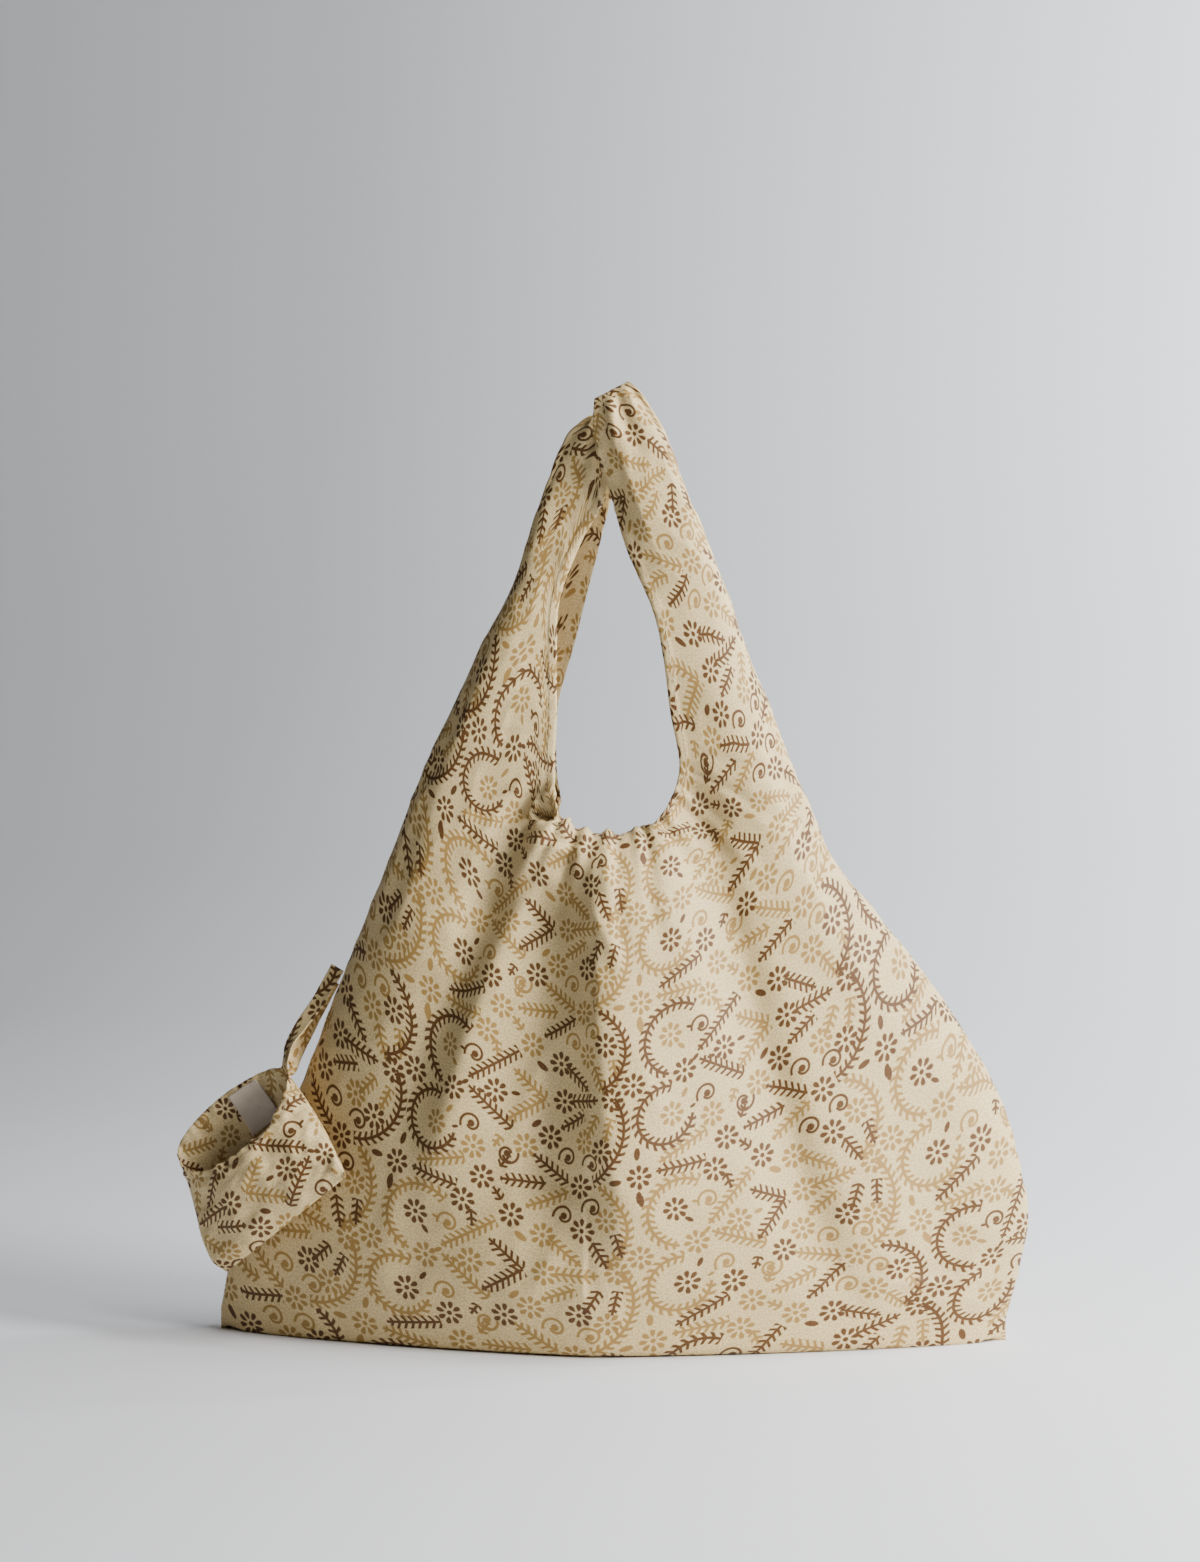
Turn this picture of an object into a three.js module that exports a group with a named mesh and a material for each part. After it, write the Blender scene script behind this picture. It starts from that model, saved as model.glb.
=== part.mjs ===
// A reusable shopping bag of printed cloth that stands filled, with two handles that lean together,
// and the small pouch that it folds into, which hangs on a strap at its left edge.
// Millimetres, +Z up. The front faces -Y, and the origin is on the floor under the middle of the whole.
import * as THREE from 'three';

const CLOTH = 1.2; // thickness of every sheet
const SEAM_GAP = 0.3; // between two edges that are sewn together
const COLUMNS = 16; // steps from a side seam to the middle, or to a strap's inner edge
const WALL_ROWS = 13; // steps from the foot of the wall up to the neckline
const STRAP_ROWS = 17; // steps from the neckline up to the top of a handle
const CROWDING = 0.75; // under 1 puts more of the columns towards the middle
const TOP_CROWDING = 1.25; // over 1 puts more of the strap's rows at its top
const FOOT = 13; // height of the rounded foot of the wall
const CORNER = 0.08; // part of the width over which the base rises to its pointed corner

// The base, from the bottom seam out to the foot. reach is a part of the depth, rise a part of
// FOOT, and corner the height at the bag's pointed bottom corners.
const BASE = [
  { reach: 0, rise: 0, corner: 0 },
  { reach: 0.34, rise: 0, corner: 1.6 },
  { reach: 0.66, rise: 0, corner: 3.4 },
  { reach: 0.87, rise: 0, corner: 5.6 },
  { reach: 0.965, rise: 0.28, corner: 8.6 },
];

// In the tables below, up runs from 0 at the foot over 1 at the neckline to 2 at a handle's top.
// The middle line of the wall, where the left and right halves of a panel meet.
const MIDDLE = [
  { up: 0, x: 3, z: 13 },
  { up: 0.15, x: 3, z: 44 },
  { up: 0.3, x: 3, z: 90 },
  { up: 0.45, x: 3, z: 138 },
  { up: 0.6, x: 3, z: 186 },
  { up: 0.75, x: 3, z: 232 },
  { up: 0.88, x: 4, z: 272 },
  { up: 1, x: 4, z: 304 },
];

// How far the panels stand out from the side seams, and how square their section is (2 is round).
const DEPTH = [
  { up: 0, front: 86, back: 86, square: 1.3 },
  { up: 0.15, front: 92, back: 93, square: 1.36 },
  { up: 0.3, front: 90, back: 91, square: 1.42 },
  { up: 0.45, front: 82, back: 80, square: 1.5 },
  { up: 0.6, front: 70, back: 67, square: 1.6 },
  { up: 0.75, front: 55, back: 52, square: 1.8 },
  { up: 0.88, front: 40, back: 37, square: 2 },
  { up: 1, front: 28, back: 26, square: 2.2 },
  { up: 1.15, front: 23, back: 20, square: 2.4 },
  { up: 1.3, front: 22, back: 19, square: 2.5 },
  { up: 1.5, front: 20, back: 17, square: 2.6 },
  { up: 1.7, front: 16, back: 13, square: 2.8 },
  { up: 1.8, front: 12, back: 9, square: 2.8 },
  { up: 1.9, front: 9, back: 6, square: 2.6 },
  { up: 1.96, front: 6.5, back: 5, square: 2.4 },
  { up: 1.985, front: 4, back: 3.2, square: 2.2 },
  { up: 2, front: 0, back: 0, square: 2 },
];

// The side seams, which make the outline. y is where the seam lies between front and back.
const SEAM = {
  left: [
    { up: 0, x: -238, y: 0, z: 13 },
    { up: 0.15, x: -231, y: 0, z: 46 },
    { up: 0.3, x: -214, y: 0, z: 94 },
    { up: 0.45, x: -190.5, y: 0, z: 145 },
    { up: 0.6, x: -168, y: 0, z: 203 },
    { up: 0.75, x: -148, y: 0, z: 254 },
    { up: 0.88, x: -131, y: 0, z: 296 },
    { up: 1, x: -118, y: 0, z: 331 },
    { up: 1.15, x: -104, y: 0, z: 364 },
    { up: 1.3, x: -90, y: 0, z: 392 },
    { up: 1.45, x: -74, y: 1.5, z: 428 },
    { up: 1.6, x: -56.5, y: 4, z: 460 },
    { up: 1.7, x: -46, y: 6.5, z: 492 },
    { up: 1.8, x: -36, y: 8.5, z: 523 },
    { up: 1.9, x: -22.5, y: 9.5, z: 556 },
    { up: 1.96, x: -12, y: 9.5, z: 567 },
    { up: 2, x: -5, y: 9.5, z: 571 },
  ],
  right: [
    { up: 0, x: 250, y: 0, z: 13 },
    { up: 0.15, x: 258, y: 0, z: 44 },
    { up: 0.3, x: 263.5, y: 0, z: 82 },
    { up: 0.45, x: 247, y: 0, z: 148 },
    { up: 0.6, x: 213, y: 0, z: 207 },
    { up: 0.75, x: 172, y: 0, z: 261 },
    { up: 0.88, x: 145, y: 0, z: 294 },
    { up: 1, x: 133, y: 0, z: 322 },
    { up: 1.15, x: 117, y: 0, z: 358 },
    { up: 1.3, x: 106, y: 0, z: 388 },
    { up: 1.45, x: 93, y: -1, z: 420 },
    { up: 1.6, x: 79.5, y: -3, z: 459 },
    { up: 1.7, x: 67, y: -5, z: 492 },
    { up: 1.8, x: 55, y: -7, z: 521 },
    { up: 1.9, x: 40, y: -8, z: 560 },
    { up: 1.96, x: 27.5, y: -8, z: 581 },
    { up: 2, x: 18.5, y: -8, z: 590 },
  ],
};

// The hemmed edge of the hand opening, from the middle of the neckline up each strap.
const OPENING = {
  left: {
    front: [
      { up: 1, x: 4, z: 304 },
      { up: 1.08, x: -6, z: 303 },
      { up: 1.15, x: -14, z: 303.5 },
      { up: 1.22, x: -20.5, z: 309 },
      { up: 1.3, x: -23.5, z: 323 },
      { up: 1.4, x: -26, z: 352 },
      { up: 1.5, x: -25, z: 385 },
      { up: 1.6, x: -25.5, z: 420 },
      { up: 1.7, x: -24, z: 455 },
      { up: 1.8, x: -11, z: 491 },
      { up: 1.9, x: 3, z: 518 },
      { up: 1.96, x: 6.5, z: 545 },
      { up: 2, x: 6, z: 576 },
    ],
    back: [
      { up: 1, x: 4, z: 301 },
      { up: 1.08, x: -6, z: 301 },
      { up: 1.15, x: -16, z: 302 },
      { up: 1.22, x: -23, z: 309 },
      { up: 1.3, x: -27, z: 324 },
      { up: 1.4, x: -29, z: 352 },
      { up: 1.5, x: -28, z: 390 },
      { up: 1.6, x: -18, z: 427 },
      { up: 1.7, x: -9, z: 463 },
      { up: 1.8, x: 0, z: 497 },
      { up: 1.9, x: 6, z: 522 },
      { up: 1.96, x: 7, z: 548 },
      { up: 2, x: 6, z: 576 },
    ],
  },
  right: {
    front: [
      { up: 1, x: 4, z: 304 },
      { up: 1.08, x: 14, z: 306 },
      { up: 1.15, x: 24, z: 309 },
      { up: 1.22, x: 35, z: 317 },
      { up: 1.3, x: 45, z: 332 },
      { up: 1.4, x: 50.5, z: 354 },
      { up: 1.5, x: 45, z: 386 },
      { up: 1.6, x: 41, z: 418 },
      { up: 1.7, x: 34, z: 449 },
      { up: 1.8, x: 19, z: 483 },
      { up: 1.9, x: 5, z: 525 },
      { up: 1.96, x: -3, z: 556 },
      { up: 2, x: -3, z: 579 },
    ],
    back: [
      { up: 1, x: 4, z: 301 },
      { up: 1.08, x: 14, z: 302 },
      { up: 1.15, x: 24, z: 305 },
      { up: 1.22, x: 37, z: 314 },
      { up: 1.3, x: 49, z: 332 },
      { up: 1.4, x: 54, z: 356 },
      { up: 1.5, x: 50, z: 388 },
      { up: 1.6, x: 45, z: 420 },
      { up: 1.7, x: 38, z: 451 },
      { up: 1.8, x: 24, z: 485 },
      { up: 1.9, x: 10, z: 528 },
      { up: 1.96, x: 6, z: 556 },
      { up: 2, x: -3, z: 579 },
    ],
  },
};

// Near its top the front of the right handle is creased, and its inner margin turns back.
const TUCK_CREASE = 13 / 16; // part of the columns, from the side seam
const TUCK = [
  { up: 1.7, back: 0 },
  { up: 1.8, back: 5 },
  { up: 1.9, back: 12 },
  { up: 1.96, back: 8 },
  { up: 2, back: 0 },
];

// The main folds of each panel. A fold runs down from z top to z foot, at x topX, midX and footX.
// It stands height out of the panel, or lies in it if that is negative, and dies away over left
// and right to its sides, and over fade towards its foot.
const FOLDS = {
  front: [
    { top: 270, topX: 4, midX: 11, foot: 26, footX: 27, height: 11.5, left: 18, right: 50, fade: 110 },
    { top: 262, topX: -36, midX: -30, foot: 40, footX: -12, height: -8, left: 44, right: 18, fade: 90 },
    { top: 316, topX: -25, midX: -73, foot: 56, footX: -103, height: 8, left: 15, right: 42, fade: 90 },
    { top: 326, topX: -44, midX: -91, foot: 100, footX: -119, height: -4, left: 22, right: 15, fade: 70 },
    { top: 330, topX: 62, midX: 110, foot: 6, footX: 158, height: -5, left: 26, right: 16, fade: 90 },
    { top: 322, topX: 34, midX: 54, foot: 160, footX: 62, height: 3, left: 14, right: 18, fade: 70 },
    { top: 400, topX: -70, midX: -108, foot: 220, footX: -126, height: 3, left: 14, right: 20, fade: 80 },
    { top: 390, topX: 78, midX: 122, foot: 180, footX: 168, height: 4, left: 18, right: 22, fade: 80 },
    { top: 150, topX: 190, midX: 206, foot: 20, footX: 214, height: -3, left: 18, right: 22, fade: 60 },
  ],
  back: [
    { top: 274, topX: 4, midX: -4.5, foot: 26, footX: -16, height: -8, left: 18, right: 24, fade: 110 },
    { top: 292, topX: 23, midX: 28, foot: 50, footX: 34, height: 9, left: 16, right: 36, fade: 90 },
    { top: 318, topX: -40, midX: -72, foot: 50, footX: -112, height: 8, left: 28, right: 17, fade: 90 },
    { top: 326, topX: 62, midX: 104, foot: 30, footX: 142, height: -5, left: 17, right: 24, fade: 90 },
    { top: 390, topX: 84, midX: 126, foot: 170, footX: 174, height: 4, left: 17, right: 22, fade: 80 },
    { top: 380, topX: -78, midX: -110, foot: 190, footX: -142, height: -3, left: 17, right: 20, fade: 80 },
  ],
};
const FOLD_TOP = 40; // over which a fold dies away above its top
const FOLD_START = 0.04; // part of the width beside a seam that has no folds
const FOLD_FULL = 0.16;

// The pouch: its mouth runs from top to left, and its bottom seam from right to bottom.
const POUCH = {
  top: new THREE.Vector3(-193, -22, 163),
  left: new THREE.Vector3(-262.5, -14, 110),
  right: new THREE.Vector3(-149, -62, 104),
  bottom: new THREE.Vector3(-226, -42, 42),
};
const POUCH_AROUND = 28;
const POUCH_ROWS = 12;
// Its sections from the mouth (down 0) to the bottom seam (down 1). front and back are how far its
// two cloths stand out, and near and far how far its side edges bow out by the bag and away from it.
const POUCH_SECTION = [
  { down: 0, front: 17, back: 3, near: 0, far: 0 },
  { down: 0.12, front: 18, back: 10, near: 1, far: 0.5 },
  { down: 0.3, front: 18, back: 13, near: 2.5, far: 2 },
  { down: 0.5, front: 16, back: 12, near: 3, far: 4.5 },
  { down: 0.7, front: 12, back: 9, near: 2.5, far: 7 },
  { down: 0.88, front: 8, back: 5.5, near: 1.5, far: 6 },
  { down: 1, front: 0, back: 0, near: 0, far: 0 },
];
const POUCH_SAG = 0.4; // how far the front lip of the mouth sags, as a part of the pouch's length
const POUCH_RISE = 0.18; // how far the back lip stands up
const LIP_FALL = 1.5; // how soon both die away below the mouth
const POUCH_EDGE = 1.05; // over 1 draws the sides in to a sharper edge

const LABEL = { from: 0.02, to: 0.3, start: 0.755, end: 0.84, thick: 0.8, apart: 0.5, rows: 4, columns: 5 };

// The strap: a band of cloth doubled into a loop. Each row is a point of its middle line, with the
// angle of its face about that line.
const STRAP_WIDTH = 9.5;
const STRAP_SIDE_STEPS = 2;
const STRAP = [
  { x: -164.2, y: -0.5, z: 226, turn: 20 },
  { x: -171.5, y: -2, z: 213, turn: 25 },
  { x: -178.5, y: -5, z: 201, turn: 30 },
  { x: -186, y: -10, z: 190, turn: 40 },
  { x: -191.5, y: -16, z: 180, turn: 55 },
  { x: -193.5, y: -21, z: 170, turn: 60 },
  { x: -193.4, y: -21.5, z: 165, turn: 60 },
  { x: -191, y: -17.5, z: 164.5, turn: 60 },
  { x: -189.5, y: -8, z: 171, turn: 50 },
  { x: -185.5, y: 0, z: 182, turn: 40 },
  { x: -180, y: 5, z: 195, turn: 30 },
  { x: -174, y: 6, z: 207, turn: 22 },
  { x: -168.4, y: 5.5, z: 217, turn: 20 },
];
const STRAP_STEPS = 30;

// A smooth curve through one column of a table, at any value of its first column.
function between(table, key, column, at) {
  const last = table.length - 1;
  if (at <= table[0][key]) return table[0][column];
  if (at >= table[last][key]) return table[last][column];
  const i = table.findIndex((row) => row[key] > at) - 1;
  const slope = (n) => {
    const before = table[Math.max(n - 1, 0)];
    const after = table[Math.min(n + 1, last)];
    return (after[column] - before[column]) / (after[key] - before[key]);
  };
  const span = table[i + 1][key] - table[i][key];
  const t = (at - table[i][key]) / span;
  const start = table[i][column] * (1 + 2 * t) * (1 - t) ** 2;
  const end = table[i + 1][column] * (3 - 2 * t) * t ** 2;
  return start + end + span * (slope(i) * t * (1 - t) ** 2 - slope(i + 1) * (1 - t) * t ** 2);
}

const { smoothstep, lerp } = THREE.MathUtils;

// A point of a panel before its folds. part runs from 0 at the side seam to 1 at the inner end.
function panelPoint(side, face, up, column) {
  const inner = up <= 1 ? MIDDLE : OPENING[side][face];
  const square = between(DEPTH, 'up', 'square', up);
  const turn = (Math.PI / 2) * (column / COLUMNS) ** CROWDING;
  const part = 1 - Math.max(Math.cos(turn), 0) ** (2 / square);
  const out = Math.sin(turn) ** (2 / square);
  const x = lerp(between(SEAM[side], 'up', 'x', up), between(inner, 'up', 'x', up), part);
  const z = lerp(between(SEAM[side], 'up', 'z', up), between(inner, 'up', 'z', up), part);
  let stand = between(DEPTH, 'up', face, up) * out;
  if (side === 'right' && face === 'front' && up > 1) {
    const turned = Math.max(column / COLUMNS - TUCK_CREASE, 0) / (1 - TUCK_CREASE);
    stand -= between(TUCK, 'up', 'back', up) * turned;
  }
  const sign = face === 'front' ? -1 : 1;
  const seamY = between(SEAM[side], 'up', 'y', up);
  return { part, seamY, point: new THREE.Vector3(x, seamY + sign * (stand + SEAM_GAP / 2), z) };
}

function basePoint(side, face, row, column) {
  const foot = panelPoint(side, face, 0, column);
  const near = 1 - smoothstep(foot.part, 0, CORNER);
  const sign = face === 'front' ? -1 : 1;
  const stand = Math.abs(foot.point.y) - SEAM_GAP / 2;
  const z = lerp(FOOT * row.rise, row.corner, near);
  const y = sign * (stand * row.reach + SEAM_GAP / 2);
  return { part: foot.part, seamY: 0, point: new THREE.Vector3(foot.point.x, y, z) };
}

function foldHeight(face, x, z) {
  let height = 0;
  for (const fold of FOLDS[face]) {
    const along = (fold.top - z) / (fold.top - fold.foot);
    const straight = lerp(fold.topX, fold.footX, along);
    const bow = fold.midX - (fold.topX + fold.footX) / 2;
    const line = straight + 4 * bow * along * (1 - along);
    const width = x < line ? fold.left : fold.right;
    const above = smoothstep(fold.top + FOLD_TOP - z, 0, FOLD_TOP);
    const below = smoothstep(z - fold.foot, 0, fold.fade);
    height += fold.height * Math.exp(-(((x - line) / width) ** 2)) * above * below;
  }
  return height;
}

// Normals of the sheet's points, pointing out of it.
function normalsOf(points, faces) {
  const normals = points.map(() => new THREE.Vector3());
  for (const [a, b, c] of faces) {
    const toB = points[b].clone().sub(points[a]);
    const toC = points[c].clone().sub(points[a]);
    const normal = toB.cross(toC);
    for (const corner of [a, b, c]) normals[corner].add(normal);
  }
  return normals.map((normal) => normal.normalize());
}

// A closed body of even thickness behind a sheet, with its open edges closed.
function thicken(points, faces, normals, thick) {
  const count = points.length;
  const inside = points.map((point, i) => point.clone().addScaledVector(normals[i], -thick));
  const index = [];
  const edges = new Set();
  for (const [a, b, c] of faces) {
    index.push(a, b, c, count + c, count + b, count + a);
    for (const [from, to] of [[a, b], [b, c], [c, a]]) edges.add(`${from},${to}`);
  }
  for (const edge of edges) {
    const [from, to] = edge.split(',').map(Number);
    if (!edges.has(`${to},${from}`)) index.push(to, from, count + from, to, count + from, count + to);
  }
  const geometry = new THREE.BufferGeometry();
  geometry.setFromPoints([...points, ...inside]);
  geometry.setIndex(index);
  return geometry;
}

function addQuad(faces, a, b, c, d, flip) {
  if (flip) faces.push([a, c, b], [a, d, c]);
  else faces.push([a, b, c], [a, c, d]);
}

function panel(face) {
  const rows = BASE.map((base) => ({ base, up: 0 }));
  for (let i = 0; i <= WALL_ROWS; i++) rows.push({ up: i / WALL_ROWS });
  const neck = rows.length - 1;
  for (let i = 1; i <= STRAP_ROWS; i++) rows.push({ up: 2 - (1 - i / STRAP_ROWS) ** TOP_CROWDING });
  const points = [];
  const edges = [];
  const faces = [];
  const middle = [];
  for (const side of ['left', 'right']) {
    const grid = rows.map((row, k) => {
      const line = [];
      for (let column = 0; column <= COLUMNS; column++) {
        const shared = column === COLUMNS && k <= neck;
        if (shared && middle[k] !== undefined) {
          line.push(middle[k]);
          continue;
        }
        const spot = row.base ? basePoint(side, face, row.base, column) : panelPoint(side, face, row.up, column);
        if (shared) middle[k] = points.length;
        line.push(points.length);
        points.push(spot.point);
        edges.push({ part: spot.part, seam: column === 0, foot: k === 0, top: k === rows.length - 1, up: row.up });
      }
      return line;
    });
    const flip = (side === 'right') !== (face === 'back');
    for (let k = 0; k < rows.length - 1; k++) {
      for (let j = 0; j < COLUMNS; j++) addQuad(faces, grid[k][j], grid[k][j + 1], grid[k + 1][j + 1], grid[k + 1][j], flip);
    }
  }
  const smooth = normalsOf(points, faces);
  points.forEach((point, i) => {
    const { part, foot, top, up } = edges[i];
    if (foot || top || up === 0) return;
    const height = foldHeight(face, point.x, point.z) * smoothstep(part, FOLD_START, FOLD_FULL);
    point.addScaledVector(smooth[i], height);
  });
  const normals = normalsOf(points, faces);
  edges.forEach((edge, i) => {
    if (edge.seam || edge.top) normals[i].setY(0).normalize();
    if (edge.foot) normals[i].set(edge.seam ? Math.sign(points[i].x) : 0, 0, -1).normalize();
  });
  return thicken(points, faces, normals, CLOTH);
}

// The pouch's cloth at a place down from its mouth and round it. round is 0 at the top edge, goes
// over the front cloth to 0.5 at the left edge, and back over the back cloth.
function pouchPoint(down, round) {
  const angle = round * 2 * Math.PI;
  const ahead = Math.sin(angle);
  const drop = down + (1 - down) ** LIP_FALL * (ahead > 0 ? POUCH_SAG : POUCH_RISE) * ahead;
  const one = POUCH.top.clone().lerp(POUCH.right, drop);
  const other = POUCH.left.clone().lerp(POUCH.bottom, drop);
  const across = one.clone().sub(other).normalize();
  const along = POUCH.right.clone().add(POUCH.bottom).sub(POUCH.top).sub(POUCH.left).normalize();
  const outward = along.clone().cross(across).normalize();
  const bow = between(POUCH_SECTION, 'down', Math.cos(angle) > 0 ? 'near' : 'far', down);
  const half = one.distanceTo(other) / 2 + bow;
  const stand = between(POUCH_SECTION, 'down', ahead > 0 ? 'front' : 'back', down);
  const out = Math.sign(ahead) * Math.abs(ahead) ** POUCH_EDGE;
  const point = one.clone().add(other).multiplyScalar(0.5);
  return point.addScaledVector(across, half * Math.cos(angle)).addScaledVector(outward, stand * out);
}

function pouch() {
  const points = [];
  const faces = [];
  const half = POUCH_AROUND / 2;
  for (let row = 0; row < POUCH_ROWS; row++) {
    for (let i = 0; i < POUCH_AROUND; i++) points.push(pouchPoint(row / POUCH_ROWS, i / POUCH_AROUND));
  }
  const seam = points.length;
  for (let i = 0; i <= half; i++) points.push(pouchPoint(1, i / POUCH_AROUND));
  const at = (row, i) => {
    const around = i % POUCH_AROUND;
    if (row < POUCH_ROWS) return row * POUCH_AROUND + around;
    return seam + Math.min(around, POUCH_AROUND - around);
  };
  for (let row = 0; row < POUCH_ROWS; row++) {
    for (let i = 0; i < POUCH_AROUND; i++) {
      const corners = [at(row, i), at(row, i + 1), at(row + 1, i + 1), at(row + 1, i)];
      faces.push([corners[0], corners[1], corners[2]], [corners[0], corners[2], corners[3]]);
    }
  }
  return thicken(points, faces, normalsOf(points, faces), CLOTH);
}

// The label lies on the inside of the pouch's back cloth.
function label() {
  const points = [];
  const faces = [];
  for (let row = 0; row <= LABEL.rows; row++) {
    for (let column = 0; column <= LABEL.columns; column++) {
      const down = lerp(LABEL.from, LABEL.to, row / LABEL.rows);
      const round = lerp(LABEL.start, LABEL.end, column / LABEL.columns);
      points.push(pouchPoint(down, round));
    }
  }
  const wide = LABEL.columns + 1;
  for (let row = 0; row < LABEL.rows; row++) {
    for (let column = 0; column < LABEL.columns; column++) {
      const a = row * wide + column;
      faces.push([a, a + 1, a + wide + 1], [a, a + wide + 1, a + wide]);
    }
  }
  const normals = normalsOf(points, faces);
  points.forEach((point, i) => point.addScaledVector(normals[i], -(CLOTH + LABEL.apart)));
  return thicken(points, faces, normals, LABEL.thick);
}

function strap() {
  const middle = new THREE.CatmullRomCurve3(STRAP.map(({ x, y, z }) => new THREE.Vector3(x, y, z)));
  const points = [];
  const faces = [];
  const ahead = new THREE.Vector3(0, -1, 0);
  for (let step = 0; step <= STRAP_STEPS; step++) {
    const t = step / STRAP_STEPS;
    const centre = middle.getPoint(t);
    const along = middle.getTangent(t);
    const place = t * (STRAP.length - 1);
    const low = Math.min(Math.floor(place), STRAP.length - 2);
    const turn = lerp(STRAP[low].turn, STRAP[low + 1].turn, place - low);
    const side = along.clone().cross(ahead).normalize().applyAxisAngle(along, THREE.MathUtils.degToRad(turn));
    for (let i = 0; i <= STRAP_SIDE_STEPS; i++) {
      points.push(centre.clone().addScaledVector(side, STRAP_WIDTH * (i / STRAP_SIDE_STEPS - 0.5)));
    }
  }
  const wide = STRAP_SIDE_STEPS + 1;
  for (let step = 0; step < STRAP_STEPS; step++) {
    for (let i = 0; i < STRAP_SIDE_STEPS; i++) {
      const a = step * wide + i;
      faces.push([a, a + 1, a + wide + 1], [a, a + wide + 1, a + wide]);
    }
  }
  return thicken(points, faces, normalsOf(points, faces), CLOTH);
}

const PRINTED = { color: 0xc9b88e, roughness: 0.72, metalness: 0 };
const WHITE = { color: 0xe6e2dc, roughness: 0.8, metalness: 0 };

function named(name, geometry, finish) {
  const mesh = new THREE.Mesh(geometry, new THREE.MeshStandardMaterial(finish));
  mesh.name = name;
  return mesh;
}

const bag = new THREE.Group();
bag.add(
  named('front_panel', panel('front'), PRINTED),
  named('back_panel', panel('back'), PRINTED),
  named('pouch', pouch(), PRINTED),
  named('pouch_strap', strap(), PRINTED),
  named('pouch_label', label(), WHITE),
);
export default bag;
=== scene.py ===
# %% [markdown]
# # A printed shopping bag that stands filled
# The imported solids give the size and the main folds. Each cloth is made again here as a thin sheet
# on its solid's surface, with the small folds, gathers, hems and the print that the solids lack.
# The tables of the form are the solids' own, and only the main folds are cut a little deeper.

import math

import bpy
import numpy as np
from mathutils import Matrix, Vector
from mathutils.bvhtree import BVHTree


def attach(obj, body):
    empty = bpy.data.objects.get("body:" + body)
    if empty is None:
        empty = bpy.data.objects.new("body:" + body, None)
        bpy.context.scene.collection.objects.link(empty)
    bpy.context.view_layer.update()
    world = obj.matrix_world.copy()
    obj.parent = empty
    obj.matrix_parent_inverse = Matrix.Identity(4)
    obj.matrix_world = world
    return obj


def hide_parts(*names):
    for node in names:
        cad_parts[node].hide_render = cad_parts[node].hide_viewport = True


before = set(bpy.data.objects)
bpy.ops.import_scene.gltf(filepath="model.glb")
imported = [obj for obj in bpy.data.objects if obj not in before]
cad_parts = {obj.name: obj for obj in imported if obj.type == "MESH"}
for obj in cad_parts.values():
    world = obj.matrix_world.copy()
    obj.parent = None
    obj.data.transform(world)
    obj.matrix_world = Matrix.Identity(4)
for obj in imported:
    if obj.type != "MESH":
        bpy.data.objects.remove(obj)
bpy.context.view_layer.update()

# %% [markdown]
# ## Camera, floor and light
# The photograph is taken level with the upper part of the bag, from 2.2 m away and 5 degrees to
# the right. The frame could be matched by turning the camera down, but then the bag's upright
# lines would lean, so the camera stays level and its lens is shifted.

# %% Camera
AZIMUTH = math.radians(5)
DISTANCE, EYE = 2.2, 0.4
PIXEL = 0.00062  # metres of the object's own plane to one of the photograph's 1200 x 1562 pixels
PHOTO_HIGH, HORIZON = 1562, 688.5

camera = bpy.data.objects.new("camera", bpy.data.cameras.new("camera"))
bpy.context.scene.collection.objects.link(camera)
camera.location = (DISTANCE * math.sin(AZIMUTH), -DISTANCE * math.cos(AZIMUTH), EYE)
camera.rotation_euler = (math.radians(90), 0, AZIMUTH)
camera.data.sensor_width = 36
camera.data.lens = 36 * DISTANCE / (PIXEL * PHOTO_HIGH)
camera.data.shift_y = (HORIZON - PHOTO_HIGH / 2) / PHOTO_HIGH
camera.data.clip_end = 50
bpy.context.scene.camera = camera
print("lens, mm:", round(camera.data.lens, 2))


# %% [markdown]
# ## Shader arithmetic
# The print is made of many sums and maxima, and each is a Math node. Wired one by one they would
# fill pages. A small class wraps a node's output instead, so that the maths reads as Python, and
# one function adds any other node with its settings and sockets.

# %% Shader sockets
class Socket:
    """An output of a shader node. Arithmetic on it adds Math nodes."""

    def __init__(self, tree, output):
        self.tree, self.output = tree, output

    def node(self, kind, settings, *inputs, out=0, **named):
        """Adds any node to this socket's tree and returns one of its outputs."""
        return add_node(self.tree, kind, settings, *inputs, out=out, **named)

    def math(self, operation, *inputs, clamp=False):
        return self.node("ShaderNodeMath", {"operation": operation, "use_clamp": clamp}, self, *inputs)

    def fused(self, factor, offset, clamp=False):
        return self.math("MULTIPLY_ADD", factor, offset, clamp=clamp)

    def __add__(self, other):
        return self.math("ADD", other)

    def __sub__(self, other):
        return self.math("SUBTRACT", other)

    def __mul__(self, other):
        return self.math("MULTIPLY", other)

    def __rsub__(self, other):
        return self.math("MULTIPLY_ADD", -1.0, other)

    __radd__, __rmul__ = __add__, __mul__


def add_node(tree, kind, settings, *inputs, out=0, **named):
    node = tree.nodes.new(kind)
    for name, value in settings.items():
        setattr(node, name, value)
    pairs = list(enumerate(inputs)) + [(name.replace("_", " "), value) for name, value in named.items()]
    for key, value in pairs:
        if isinstance(value, Socket):
            tree.links.new(value.output, node.inputs[key])
        elif value is not None:
            node.inputs[key].default_value = value
    return Socket(tree, node.outputs[out])


def mixed(factor, first, second):
    """A blend of two colours."""
    sockets = (factor, *[None] * 5, first, second)
    return factor.node("ShaderNodeMix", {"data_type": "RGBA"}, *sockets, out=2)


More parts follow.
